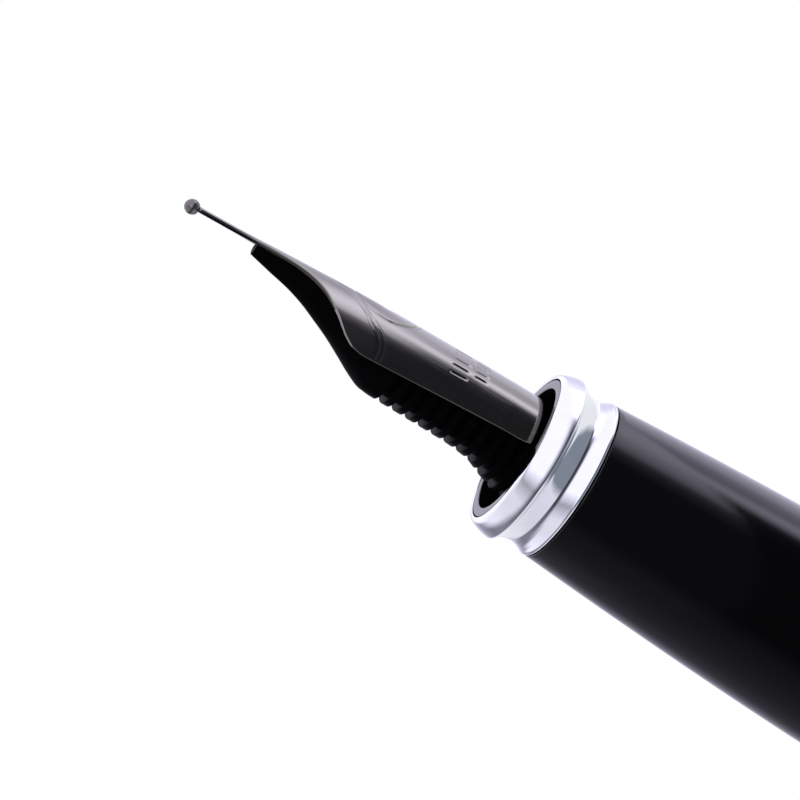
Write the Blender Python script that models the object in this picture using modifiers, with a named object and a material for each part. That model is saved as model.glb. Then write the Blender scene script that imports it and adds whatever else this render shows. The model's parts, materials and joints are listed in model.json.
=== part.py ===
"""Fountain pen with its cap posted on the back, built from separate named parts.

Frame: metres, +Z up. The pen lies along X with its nib towards -X and the nib's upper
face towards +Z. The origin is under the middle of the pen, at the height of the lowest
point of the posted cap. Along the pen, places are stations in millimetres, measured
from the mouth of the grip section (station 0) towards the tail (positive).
"""

import math

import bmesh
import bpy
from mathutils import Matrix, Vector

MM = 0.001
STEPS = 24                      # facets round each turned part
CORE_STEPS = 16                 # and round the threaded parts inside

# Driving dimensions, in millimetres.
NIB_REACH = 22.4                # from the section's mouth to the end of the nib's tines
SECTION_END = 27.0              # station where the section meets the barrel
BARREL_END = 100.5              # station of the barrel's tail
CAP_LIP = 74.0                  # station of the posted cap's lip
CAP_LENGTH = 62.6
CAP_RADIUS = 7.1                # at the lip, the widest point of the pen
PELLET_RADIUS = 0.40
PELLET_CENTRE = (-22.8, 2.03)   # station and height of the writing tip
NIB_RADIUS = 3.16               # outer radius of the rolled nib
NIB_THICKNESS = 0.30
NIB_BASE = 12.0                 # station of the nib's hidden end
FEED_GAP = 0.05                 # between the nib and the feed below it
FIT = 0.05                      # radial gap between parts that sit in each other
RUN = 0.10                      # radial gap round parts that turn or slide

SECTION_FRONT = 3.62            # station where the lacquered section starts
SECTION_FRONT_RADIUS = 4.87
SECTION_REAR_RADIUS = 5.92
SECTION_BULGE = 1.55            # 1 is a straight cone, more is fuller at the front
BARREL_RADIUS = 6.28
CONVERTER_RADIUS = 3.65
RESERVOIR_RADIUS = 3.2
RESERVOIR_BORE = 2.6
RESERVOIR_END = 56.2
PISTON_FRONT = 51.4             # station of the piston when the converter is full
PISTON_LENGTH = 4.4
ROD_END = 85.2
ROD_PITCH = 2.0
KNOB_FRONT = 64.8
KNOB_END = 87.0
CLIP_PIVOT = (130.9, 7.2)       # station and height above the pen's axis
CLIP_WIDTH = 2.2
CLIP_PIN_RADIUS = 0.42
CLIP_TURN = 135.0               # degrees about the pen from the nib's top to the clip

CAP_END = CAP_LIP + CAP_LENGTH
CAP_BACK = CAP_END - 9.2        # station where the cap's tube meets the clip ring
TIP_FRONT = PELLET_CENTRE[0] - PELLET_RADIUS
MIDDLE = (TIP_FRONT + CAP_END) / 2


# ---------------------------------------------------------------- scene and helpers

def clear_scene():
    for item in list(bpy.data.objects):
        bpy.data.objects.remove(item, do_unlink=True)


def collection(name, hidden=False):
    made = bpy.data.collections.new(name)
    bpy.context.scene.collection.children.link(made)
    made.hide_render = hidden
    return made


def material(name, colour, roughness, metallic, alpha=1.0):
    made = bpy.data.materials.new(name)
    made.use_nodes = True
    shader = made.node_tree.nodes["Principled BSDF"]
    shader.inputs["Base Color"].default_value = (*colour, 1.0)
    shader.inputs["Roughness"].default_value = roughness
    shader.inputs["Metallic"].default_value = metallic
    shader.inputs["Alpha"].default_value = alpha
    made.diffuse_color = (*colour, alpha)
    return made


def place(station, across=0.0, height=0.0):
    """A point of the pen in world metres: station along it, then Y and Z from its axis."""
    return Vector(((station - MIDDLE) * MM, across * MM, (CAP_RADIUS + height) * MM))


def add_object(name, data, finish, group):
    item = bpy.data.objects.new(name, data)
    if finish is not None:
        data.materials.append(finish)
    group.objects.link(item)
    return item


def ride_on(holder, *items):
    """Turn pieces made in line with the nib's top round the pen with their holder."""
    for item in items:
        item.parent = holder
        item.location = item.location - place(0)


def smooth(mesh, angle=35.0):
    mesh.shade_smooth()
    mesh.set_sharp_from_angle(angle=math.radians(angle))


def signed_area(points):
    pairs = zip(points, points[1:] + points[:1])
    return sum(a[1] * b[0] - b[1] * a[0] for a, b in pairs) / 2


def turned(name, profile, finish, group, ring=True, steps=STEPS):
    """A turned part. The profile is a list of (station, radius), a closed loop for a
    ring, or an open line that starts and ends on the axis for a solid part."""
    points = list(profile)
    if signed_area(points) > 0:
        points.reverse()
    mesh = bpy.data.meshes.new(name)
    count = len(points)
    edges = [(i, i + 1) for i in range(count - 1)]
    if ring:
        edges.append((count - 1, 0))
    start = min(station for station, _ in points)
    mesh.from_pydata([(r * MM, 0, (s - start) * MM) for s, r in points], edges, [])
    item = add_object(name, mesh, finish, group)
    item.location = place(start)
    item.rotation_euler = (0, math.radians(90), 0)
    screw = item.modifiers.new("Screw", "SCREW")
    screw.axis = "Z"
    screw.angle = math.tau
    screw.steps = screw.render_steps = steps
    screw.use_merge_vertices = not ring
    screw.merge_threshold = 1e-6
    screw.use_smooth_shade = True
    return item


def ridged(start, end, root, crest, pitch):
    """Points (station, radius) of a row of thread-like ridges from start to end."""
    points = []
    count = int((end - start) / pitch)
    for i in range(count):
        at = start + i * pitch
        points += [(at, root), (at + pitch * 0.3, crest), (at + pitch * 0.6, crest)]
        points.append((at + pitch * 0.9, root))
    return points


def cut(item, cutter, operation="DIFFERENCE"):
    boolean = item.modifiers.new(cutter.name, "BOOLEAN")
    boolean.operation = operation
    boolean.object = cutter
    boolean.solver = "EXACT"


def cutter_object(name, mesh, group):
    item = add_object(name, mesh, None, group)
    item.hide_render = True
    item.display_type = "WIRE"
    return item


def box_cutter(name, low, high, group):
    """A box between two (station, across, height) corners."""
    mesh = bpy.data.meshes.new(name)
    made = bmesh.new()
    size = [(b - a) * MM for a, b in zip(low, high)]
    middle = [(a + b) / 2 for a, b in zip(low, high)]
    bmesh.ops.create_cube(made, size=1.0, matrix=Matrix.Diagonal((*size, 1.0)))
    made.to_mesh(mesh)
    made.free()
    item = cutter_object(name, mesh, group)
    item.location = place(*middle)
    return item


def rod_cutter(name, centre, radius, length, group, axis="Y", segments=STEPS):
    """A cylinder about a (station, across, height) centre, along Y or Z."""
    mesh = bpy.data.meshes.new(name)
    made = bmesh.new()
    turn = Matrix.Rotation(math.radians(90), 4, "X") if axis == "Y" else Matrix.Identity(4)
    bmesh.ops.create_cone(made, cap_ends=True, segments=segments, radius1=radius * MM,
                          radius2=radius * MM, depth=length * MM, matrix=turn)
    made.to_mesh(mesh)
    made.free()
    item = cutter_object(name, mesh, group)
    item.location = place(*centre)
    return item


def lofted(name, rings, finish, group):
    """A closed solid through rings of (station, across, height), with flat ends."""
    mesh = bpy.data.meshes.new(name)
    made = bmesh.new()
    origin = place(0)
    loops = [[made.verts.new(place(*p) - origin) for p in ring] for ring in rings]
    for near, far in zip(loops, loops[1:]):
        for i, vert in enumerate(near):
            j = (i + 1) % len(near)
            made.faces.new((vert, near[j], far[j], far[i]))
    made.faces.new(reversed(loops[0]))
    made.faces.new(loops[-1])
    bmesh.ops.recalc_face_normals(made, faces=made.faces)
    made.to_mesh(mesh)
    made.free()
    smooth(mesh)
    item = add_object(name, mesh, finish, group)
    item.location = origin
    return item


def between(table, at):
    """Value at a station from a short table of (station, value), eased between rows."""
    if at <= table[0][0]:
        return table[0][1]
    for (a, low), (b, high) in zip(table, table[1:]):
        if at <= b:
            t = (at - a) / (b - a)
            return low + (high - low) * t
    return table[-1][1]


# ---------------------------------------------------------------- nib unit

NIB_RIDGE = [(-NIB_REACH, 2.22), (-19.2, 2.35), (-17.0, 2.50), (-13.6, 2.70), (-10.7, 2.85),
             (-2.0, 3.05)]
NIB_HALF_ARC = [(-NIB_REACH, 0.32), (-19.1, 0.55), (-17.2, 0.93), (-16.1, 1.22), (-15.0, 1.76),
                (-14.1, 2.42), (-13.5, 3.02), (-12.9, 3.62), (-12.5, 4.06), (-12.1, 4.42),
                (-11.5, 4.76), (-10.7, 4.90), (-9.7, 4.87), (-0.9, 4.50), (NIB_BASE, 4.25)]
FEED_BOTTOM = [(-18.7, 1.50), (-17.0, 1.15), (-15.8, 0.92), (-14.7, 0.61), (-13.6, 0.18),
               (-12.4, -0.33), (-11.3, -0.88), (-10.2, -1.44), (-9.4, -1.74), (-8.8, -1.80),
               (-4.0, -1.80), (-2.2, -1.94), (-1.1, -2.34), (0.0, -2.70), (0.8, -2.88),
               (2.0, -3.10)]
FEED_HALF_WIDTH = [(-18.7, 0.45), (-17.0, 0.70), (-15.0, 1.00), (-13.0, 1.45), (-11.0, 2.00),
                   (-9.0, 2.50), (-7.0, 2.70), (0.8, 2.78)]
FEED_END = 12.6
FIN_FIRST = -8.8
FIN_PITCH = 0.86
FIN_THICK = 0.44
FIN_COUNT = 12
FIN_DEPTH = 0.42


def nib_axis_drop(station):
    """How far the centre of the nib's curve lies from the pen's axis."""
    return between(NIB_RIDGE, station) - NIB_RADIUS


def make_nib(finish, group, cutters):
    """A rolled sheet with shoulders, a slit and a round vent at the slit's end."""
    rows, columns = 30, 8
    mesh = bpy.data.meshes.new("nib")
    made = bmesh.new()
    origin = place(0)
    grid = []
    for i in range(rows + 1):
        station = -NIB_REACH + (NIB_BASE + NIB_REACH) * (i / rows) ** 1.15
        half = between(NIB_HALF_ARC, station)
        drop = nib_axis_drop(station)
        row = []
        for j in range(columns + 1):
            angle = half * (2 * j / columns - 1) / NIB_RADIUS
            across = NIB_RADIUS * math.sin(angle)
            height = drop + NIB_RADIUS * math.cos(angle)
            row.append(made.verts.new(place(station, across, height) - origin))
        grid.append(row)
    for near, far in zip(grid, grid[1:]):
        for j in range(columns):
            made.faces.new((near[j], far[j], far[j + 1], near[j + 1]))
    made.to_mesh(mesh)
    made.free()
    item = add_object("nib", mesh, finish, group)
    item.location = origin
    solid = item.modifiers.new("Thickness", "SOLIDIFY")
    solid.thickness = NIB_THICKNESS * MM
    solid.offset = -1.0
    solid.use_even_offset = True
    vent_station = -10.4
    slit = box_cutter("nib_slit", (-NIB_REACH - 1, -0.05, 1.0), (vent_station, 0.05, 4.0), cutters)
    vent = rod_cutter("nib_vent", (vent_station, 0, 2.8), 0.62, 2.0, cutters, axis="Z",
                      segments=16)
    cut(item, slit)
    cut(item, vent)
    return item


def make_pellets(finish, group, cutters):
    """The hard writing tip: a small ball on the ends of the tines, split by the slit."""
    keep = {"left": (-2.0, -0.06), "right": (0.06, 2.0)}
    station, height = PELLET_CENTRE
    for side, (low, high) in keep.items():
        mesh = bpy.data.meshes.new(f"tip_pellet_{side}")
        made = bmesh.new()
        bmesh.ops.create_uvsphere(made, u_segments=16, v_segments=10, radius=PELLET_RADIUS * MM)
        made.to_mesh(mesh)
        made.free()
        smooth(mesh)
        item = add_object(f"tip_pellet_{side}", mesh, finish, group)
        item.location = place(station, 0, height)
        half = box_cutter(f"pellet_half_{side}", (station - 2, low, height - 2),
                          (-NIB_REACH - 0.03, high, height + 2), cutters)
        cut(item, half, "INTERSECT")


def feed_ring(station, inset=0.0):
    """Cross-section of the feed: its top follows the nib, its belly is a flattened round."""
    half = between(FEED_HALF_WIDTH, station) - inset
    bottom = between(FEED_BOTTOM, station) + inset
    drop = nib_axis_drop(station)
    roof = NIB_RADIUS - NIB_THICKNESS - FEED_GAP - inset * 0.35
    points = []
    chords = 6
    for i in range(chords + 1):
        across = half * math.sin(math.pi * (i / chords - 0.5))
        points.append((station, across, drop + math.sqrt(roof * roof - across * across)))
    edge = points[-1][2]
    for i in range(1, chords):
        angle = math.pi * i / chords
        across = half * math.cos(angle)
        points.append((station, across, edge - (edge - bottom) * math.sin(angle) ** 0.8))
    return points


def make_feed(finish, group, cutters):
    """Ink feed: a long nose under the tines, a comb of fins, and a round tail."""
    rings = [feed_ring(s) for s in (-18.7, -17.0, -15.8, -14.7, -13.6, -12.4, -11.3, -10.2, -9.4)]
    for i in range(FIN_COUNT):
        front = FIN_FIRST + i * FIN_PITCH
        back = front + FIN_THICK
        if i:
            rings.append(feed_ring(front, FIN_DEPTH))
        rings.append(feed_ring(front))
        rings.append(feed_ring(back))
        if i < FIN_COUNT - 1:
            rings.append(feed_ring(back, FIN_DEPTH))
    rings.append(feed_ring(FEED_END))
    item = lofted("feed", rings, finish, group)
    channel = box_cutter("ink_channel", (-20, -0.2, 2.1), (20, 0.2, 4.0), cutters)
    cut(item, channel)
    return item


def make_nib_housing(finish, group):
    """Collar that grips nib and feed, screws into the section and feeds the converter."""
    bore = NIB_RADIUS + 0.08
    thread = ridged(4.4, 12.8, 3.52, 3.70, 2.0)
    profile = [(0.00, 3.86), (0.00, 4.40), (0.92, 4.40), (0.92, 4.02), (3.56, 4.02),
               (3.56, 3.52), *thread, (13.6, 3.52), (13.6, 1.15), (18.4, 1.15), (18.4, 0.60),
               (12.9, 0.60), (12.9, bore), (2.6, bore), (2.6, 3.86)]
    return turned("nib_housing", profile, finish, group, steps=CORE_STEPS)


# ---------------------------------------------------------------- grip section

def section_radius(station):
    t = (station - SECTION_FRONT) / (SECTION_END - SECTION_FRONT)
    gain = 1 - (1 - t) ** SECTION_BULGE
    return SECTION_FRONT_RADIUS + (SECTION_REAR_RADIUS - SECTION_FRONT_RADIUS) * gain


def make_section(finishes, group):
    ring = [(0.00, 4.47), (-0.05, 4.51), (-0.02, 4.62), (0.06, 4.75), (0.35, 4.89),
            (0.75, 5.02), (1.20, 5.10), (1.42, 4.91), (1.65, 4.76), (2.05, 4.61),
            (2.45, 4.55), (2.80, 4.61), (3.15, 4.75), (3.42, 4.87), (3.52, 4.86),
            (3.52, 4.07), (0.97, 4.07), (0.97, 4.45), (0.20, 4.45)]
    turned("front_ring", ring, finishes["chrome"], group)
    stations = [SECTION_FRONT + (SECTION_END - SECTION_FRONT) * i / 9 for i in range(10)]
    shell = [(s, section_radius(s)) for s in stations]
    shell += [(SECTION_END, 4.35), (SECTION_FRONT, 4.35)]
    turned("section_shell", shell, finishes["lacquer"], group)
    back = SECTION_END + 7.0
    thread = ridged(SECTION_END + 1.3, back, 4.72, 4.90, 1.4)
    core = [(3.60, 3.76), (3.60, 4.30), (SECTION_END + 0.05, 4.30), (SECTION_END + 0.05, 4.72),
            *thread, (back, 4.72), (back, 3.76)]
    turned("section_core", core, finishes["brass"], group, steps=CORE_STEPS)


# ---------------------------------------------------------------- converter

def make_converter(finishes, group):
    outer = CONVERTER_RADIUS
    tube = RESERVOIR_RADIUS
    mouth = [(14.3, 1.25), (14.3, outer - 0.2), (14.6, outer), (24.0, outer),
             (24.0, tube + FIT), (19.0, tube + FIT), (19.0, 1.25)]
    turned("converter_mouth", mouth, finishes["black_plastic"], group)
    reservoir = [(19.1, RESERVOIR_BORE), (19.1, tube), (RESERVOIR_END, tube),
                 (RESERVOIR_END, RESERVOIR_BORE)]
    turned("reservoir", reservoir, finishes["clear"], group)
    back = KNOB_FRONT - 0.3
    sleeve = [(49.5, tube + FIT), (49.5, outer + 0.05), (back, outer + 0.05), (back, 2.60),
              (back - 1.4, 2.60), (back - 1.4, tube + FIT)]
    turned("converter_sleeve", sleeve, finishes["chrome"], group)
    make_guide(finishes["steel"], group)
    nut = [(58.2, 1.45), (58.2, tube - RUN), (62.7, tube - RUN), (62.7, 1.45)]
    turned("drive_nut", nut, finishes["brass"], group, steps=CORE_STEPS)
    make_knob(finishes["black_plastic"], group)
    make_rod(finishes["steel"], group)
    seal = [(0, 0), (0, 1.9), (0.3, 2.52), (1.1, 2.52), (1.6, 2.1), (2.8, 2.1), (3.3, 2.52),
            (4.1, 2.52), (PISTON_LENGTH, 1.9), (PISTON_LENGTH, 0)]
    seal = [(PISTON_FRONT + station, radius) for station, radius in seal]
    turned("piston_seal", seal, finishes["rubber"], group, ring=False, steps=CORE_STEPS)


def made_object(name, made, finish, group):
    """Close up a bmesh that was drawn round the pen's station 0 and place it there."""
    bmesh.ops.recalc_face_normals(made, faces=made.faces)
    mesh = bpy.data.meshes.new(name)
    made.to_mesh(mesh)
    made.free()
    item = add_object(name, mesh, finish, group)
    item.location = place(0)
    return item


def tube_faces(made, rows):
    """Draw rows of (station, [(across, height), ...]) and skin them; returns the loops."""
    loops = [[made.verts.new(place(s, *p) - place(0)) for p in points] for s, points in rows]
    for near, far in zip(loops, loops[1:]):
        skin(made, near, far)
    return loops


def skin(made, near, far):
    count = len(near)
    for i in range(count):
        j = (i + 1) % count
        made.faces.new((near[i], near[j], far[j], far[i]))


def circle(radius, count=STEPS, flute=0.0):
    """Points round the pen's axis; every third one is sunk where there are flutes."""
    points = []
    for i in range(count):
        angle = math.tau * i / count
        depth = flute if i % 3 == 0 else 0.0
        points.append(((radius - depth) * math.sin(angle), (radius - depth) * math.cos(angle)))
    return points


def rod_outline(reach, flat=0.82):
    """Cross-section of the piston rod: two flats, and two sides that carry the thread."""
    corner = math.sqrt(reach * reach - flat * flat)
    return [(0, reach), (flat, corner), (flat, -corner), (0, -reach), (-flat, -corner),
            (-flat, corner)]


def make_guide(finish, group):
    """Fixed bush whose flat-sided hole keeps the piston rod from turning."""
    start, end, radius = RESERVOIR_END + 0.2, 58.0, RESERVOIR_RADIUS - 0.02
    flat, reach, count = 0.90, 1.36, STEPS
    inner = []
    for across, height in circle(reach, count):
        inner.append((max(-flat, min(flat, across)), height))
    made = bmesh.new()
    loops = tube_faces(made, [(start, circle(radius, count)), (end, circle(radius, count)),
                              (end, inner), (start, inner)])
    skin(made, loops[-1], loops[0])
    return made_object("rod_guide", made, finish, group)


def make_knob(finish, group):
    """Turning knob: a fluted grip with a neck that reaches through the sleeve."""
    front, end, neck, count = KNOB_FRONT, KNOB_END, KNOB_FRONT - 1.9, 48
    rows = [(neck, 2.45, 0), (front, 2.45, 0), (front, 3.35, 0), (front + 0.5, 3.60, 0.16),
            (end - 1.2, 3.55, 0.16), (end, 3.0, 0)]
    bore = [(end - 1.4, 1.5), (neck, 1.5)]
    made = bmesh.new()
    loops = tube_faces(made, [(s, circle(r, count, flute)) for s, r, flute in rows])
    inner = tube_faces(made, [(s, circle(r, count)) for s, r in bore])
    made.faces.new(loops[-1])
    made.faces.new(inner[0])
    skin(made, inner[-1], loops[0])
    return made_object("converter_knob", made, finish, group)


def make_rod(finish, group):
    """Piston rod: a coarse two-start screw with two flats along it."""
    start = PISTON_FRONT + PISTON_LENGTH + 0.1
    rows = [(start, rod_outline(1.0))]
    station = start + 1.2
    while station + ROD_PITCH < ROD_END:
        rows.append((station, rod_outline(1.0)))
        rows.append((station + ROD_PITCH * 0.3, rod_outline(1.3)))
        rows.append((station + ROD_PITCH * 0.6, rod_outline(1.3)))
        station += ROD_PITCH
    rows.append((station, rod_outline(1.0)))
    rows.append((ROD_END, rod_outline(1.0)))
    made = bmesh.new()
    loops = tube_faces(made, rows)
    made.faces.new(loops[0])
    made.faces.new(loops[-1])
    return made_object("piston_rod", made, finish, group)


# ---------------------------------------------------------------- barrel

def barrel_radius(station):
    """Nearly straight to the middle, then tapering to the tail."""
    return between([(29.3, BARREL_RADIUS), (45.0, 6.32), (60.0, 6.22), (CAP_LIP, 6.00),
                    (86.0, 5.62), (97.0, 5.15)], station)


def make_barrel(finishes, group):
    front = SECTION_END + 0.2
    ring = [(0, 5.05), (0, 6.10), (0.3, 6.36), (0.8, 6.42), (1.5, 6.42), (1.9, 6.34),
            (1.9, 5.34), (0.9, 5.34), (0.9, 5.05)]
    ring = [(front + station, radius) for station, radius in ring]
    turned("barrel_front_ring", ring, finishes["chrome"], group)
    stations = [front + 2.1, 45.0, 60.0, CAP_LIP, 86.0, 97.0]
    shell = [(s, barrel_radius(s)) for s in stations]
    shell += [(97.0, 3.9), (90.0, 4.35), (60.0, 5.32), (45.0, 5.34), (front + 2.1, 5.34)]
    turned("barrel_shell", shell, finishes["lacquer"], group)
    insert = [(front + 1.0, 5.00), (front + 1.0, 5.29), (40.0, 5.29), (40.0, 5.00)]
    turned("barrel_thread_insert", insert, finishes["brass"], group)
    tail = [(93.0, 0), (93.0, 3.55), (93.3, 3.82), (97.15, 3.82), (97.15, 5.12), (97.6, 5.16),
            (98.4, 5.0), (99.4, 4.55), (100.1, 3.8), (BARREL_END, 2.6), (BARREL_END, 0)]
    turned("barrel_end_cap", tail, finishes["chrome"], group, ring=False)


# ---------------------------------------------------------------- cap

def cap_shell_radius(station):
    return between([(79.1, 6.95), (100.0, 6.92), (114.0, 6.84), (CAP_BACK, 6.68)], station)


def make_cap(finishes, group):
    lip = [(0, 6.40), (0, 6.85), (0.3, 7.04), (0.8, CAP_RADIUS), (3.3, CAP_RADIUS), (3.5, 7.0),
           (3.7, CAP_RADIUS), (4.6, CAP_RADIUS), (4.95, 7.0), (4.95, 6.40)]
    turned("cap_lip_ring", [(CAP_LIP + s, r) for s, r in lip], finishes["chrome"], group)
    sleeve = [(0.3, 6.34), (0.3, 6.15), (0.9, 6.06), (9.0, 6.06), (10.0, 6.15), (10.0, 6.34)]
    turned("snap_sleeve", [(CAP_LIP + s, r) for s, r in sleeve], finishes["black_plastic"],
           group)
    stations = [CAP_LIP + 5.1, 100.0, 114.0, CAP_BACK]
    shell = [(s, cap_shell_radius(s)) for s in stations] + [(CAP_BACK, 6.40), (79.1, 6.40)]
    turned("cap_shell", shell, finishes["lacquer"], group)
    mouth = CAP_LIP + SECTION_END
    inner = [(mouth, 5.45), (mouth, 6.10), (mouth + 0.4, 6.34), (CAP_BACK - 0.2, 6.34),
             (CAP_BACK - 0.2, 1.35), (CAP_BACK - 2.2, 1.35), (CAP_BACK - 2.2, 5.30),
             (mouth + 0.5, 5.30)]
    turned("inner_cap", inner, finishes["black_plastic"], group)
    back = CAP_BACK
    finial = [(5.3, 1.35), (5.3, 6.60), (5.7, 6.72), (6.4, 6.60), (7.5, 6.15), (8.5, 5.3),
              (9.2, 4.3), (9.2, 3.60), (8.5, 3.60), (8.5, 1.35)]
    turned("finial", [(back + s, r) for s, r in finial], finishes["chrome"], group)
    inlay = [(8.55, 0), (8.55, 3.50), (9.0, 3.50), (9.2, 3.35), (9.2, 0)]
    turned("finial_inlay", [(back + s, r) for s, r in inlay], finishes["lacquer"], group,
           ring=False)
    screw = [(-4.2, 0), (-4.2, 2.0), (-3.9, 2.4), (-2.3, 2.4), (-2.3, 1.25), (8.1, 1.25),
             (8.1, 0)]
    turned("finial_screw", [(back + s, r) for s, r in screw], finishes["steel"], group,
           ring=False, steps=CORE_STEPS)


# ---------------------------------------------------------------- clip

def make_clip_group(finishes, group, cutters):
    """Clip ring, clip, pin and spring, drawn in line with the nib and turned together."""
    holder = bpy.data.objects.new("clip_place", None)
    group.objects.link(holder)
    holder.location = place(0)
    holder.rotation_euler = (math.radians(CLIP_TURN), 0, 0)
    pieces = make_clip_ring(finishes["chrome"], group, cutters)
    pieces.append(make_clip(finishes["chrome"], group))
    pieces.append(make_pin(finishes["steel"], group))
    pieces.append(make_spring(finishes["steel"], group))
    ride_on(holder, *pieces)


def make_clip_ring(finish, group, cutters):
    """Disc on the cap's end with two ears, a slot between them and the pin's bore."""
    profile = [(0.1, 1.35), (0.1, 6.60), (0.4, 6.74), (4.8, 6.74), (5.15, 6.60), (5.15, 1.35)]
    ring = turned("clip_ring", [(CAP_BACK + s, r) for s, r in profile], finish, group)
    station, height = CLIP_PIVOT
    front, back = CAP_BACK + 0.7, CAP_BACK + 4.8
    half = CLIP_WIDTH / 2 + 0.12
    boss = box_cutter("clip_boss", (front, -2.0, 5.0), (back, 2.0, 7.98), cutters)
    slot = box_cutter("clip_slot", (CAP_BACK - 1, -half, 6.2), (back + 0.1, half, 10.0), cutters)
    pocket = box_cutter("tail_pocket", (front + 0.2, -half, 4.4), (back - 0.2, half, 7.0),
                        cutters)
    bore = rod_cutter("pin_bore", (station, 0, height), CLIP_PIN_RADIUS + 0.04, 8.0, cutters,
                      segments=12)
    cut(ring, boss, "UNION")
    for tool in (slot, pocket, bore):
        cut(ring, tool)
    return [ring, boss, slot, pocket, bore]


def arc(centre, radius, start, end, count):
    """Points on an arc in the station and height plane, angles in degrees from +station."""
    turns = [math.radians(start + (end - start) * i / count) for i in range(count + 1)]
    return [(centre[0] + radius * math.cos(t), centre[1] + radius * math.sin(t)) for t in turns]


def make_clip(finish, group):
    """Sprung clip: bar, rounded ball end and a tail that the spring pushes on."""
    pivot = CLIP_PIVOT
    outline = arc(pivot, 0.80, -10, 80, 5)
    outline += [(124.5, 8.62), (116.0, 8.86), (105.0, 8.88), (97.0, 8.78), (92.6, 8.66)]
    outline += arc((91.4, 7.96), 0.93, 55, 300, 10)
    outline += [(93.2, 7.88), (97.0, 8.02), (105.0, 8.14), (116.0, 8.12), (124.5, 7.80)]
    outline += [(128.0, 7.20), (129.4, 6.75), (130.3, 6.45), (130.3, 5.10), (131.3, 5.10),
                (131.5, 6.45)]
    curve = bpy.data.curves.new("clip", "CURVE")
    curve.dimensions = "2D"
    curve.fill_mode = "BOTH"
    curve.extrude = CLIP_WIDTH / 2 * MM
    hole = arc(pivot, CLIP_PIN_RADIUS + 0.05, 0, 360 * 11 / 12, 11)
    for loop in (outline, hole):
        spline = curve.splines.new("POLY")
        spline.points.add(len(loop) - 1)
        for point, (station, height) in zip(spline.points, loop):
            point.co = ((station - pivot[0]) * MM, (height - pivot[1]) * MM, 0, 1)
        spline.use_cyclic_u = True
    item = add_object("clip", curve, finish, group)
    item.location = place(pivot[0], 0, pivot[1])
    item.rotation_euler = (math.radians(90), 0, 0)
    return item


def make_pin(finish, group):
    mesh = bpy.data.meshes.new("clip_pin")
    made = bmesh.new()
    bmesh.ops.create_cone(made, cap_ends=True, segments=12, radius1=CLIP_PIN_RADIUS * MM,
                          radius2=CLIP_PIN_RADIUS * MM, depth=3.9 * MM,
                          matrix=Matrix.Rotation(math.radians(90), 4, "X"))
    made.to_mesh(mesh)
    made.free()
    smooth(mesh)
    item = add_object("clip_pin", mesh, finish, group)
    item.location = place(CLIP_PIVOT[0], 0, CLIP_PIVOT[1])
    return item


def make_spring(finish, group):
    """Coil that pushes the clip's tail towards the cap's end."""
    start, end, height = CAP_BACK + 1.05, CAP_BACK + 2.65, 5.55
    radius, wire, turns, per_turn = 0.62, 0.12, 3, 10
    curve = bpy.data.curves.new("clip_spring", "CURVE")
    curve.dimensions = "3D"
    curve.bevel_depth = wire * MM
    curve.bevel_resolution = 1
    curve.use_fill_caps = True
    spline = curve.splines.new("POLY")
    count = turns * per_turn
    spline.points.add(count)
    for i in range(count + 1):
        angle = math.tau * i / per_turn
        along = (end - start) * i / count
        spline.points[i].co = (along * MM, radius * math.sin(angle) * MM,
                               radius * math.cos(angle) * MM, 1)
    item = add_object("clip_spring", curve, finish, group)
    item.location = place(start, 0, height)
    return item


# ---------------------------------------------------------------- build

def main():
    clear_scene()
    pen = collection("fountain_pen")
    cutters = collection("cutters", hidden=True)
    finishes = {
        "chrome": material("chrome", (0.78, 0.80, 0.83), 0.08, 1.0),
        "lacquer": material("black_lacquer", (0.008, 0.008, 0.010), 0.12, 0.0),
        "nib_steel": material("gunmetal_steel", (0.17, 0.155, 0.15), 0.28, 1.0),
        "pellet": material("tip_alloy", (0.35, 0.34, 0.34), 0.3, 1.0),
        "black_plastic": material("black_plastic", (0.012, 0.012, 0.014), 0.42, 0.0),
        "brass": material("brass", (0.72, 0.53, 0.24), 0.32, 1.0),
        "steel": material("steel", (0.55, 0.56, 0.58), 0.3, 1.0),
        "clear": material("clear_plastic", (0.85, 0.88, 0.90), 0.05, 0.0, 0.35),
        "rubber": material("rubber", (0.03, 0.03, 0.03), 0.7, 0.0),
    }
    make_nib(finishes["nib_steel"], pen, cutters)
    make_pellets(finishes["pellet"], pen, cutters)
    make_feed(finishes["black_plastic"], pen, cutters)
    make_nib_housing(finishes["black_plastic"], pen)
    make_section(finishes, pen)
    make_converter(finishes, pen)
    make_barrel(finishes, pen)
    make_cap(finishes, pen)
    make_clip_group(finishes, pen, cutters)
    bpy.context.view_layer.update()


main()
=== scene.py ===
"""Looks for the fountain pen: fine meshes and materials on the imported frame.

Places along the pen are stations in millimetres from the mouth of the grip section
(station 0) towards the tail. The nib points to -X and its upper face to +Z. Pieces on the
clip's side are drawn in line with the nib's top and turned about the pen with the clip.
"""

import math

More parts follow.
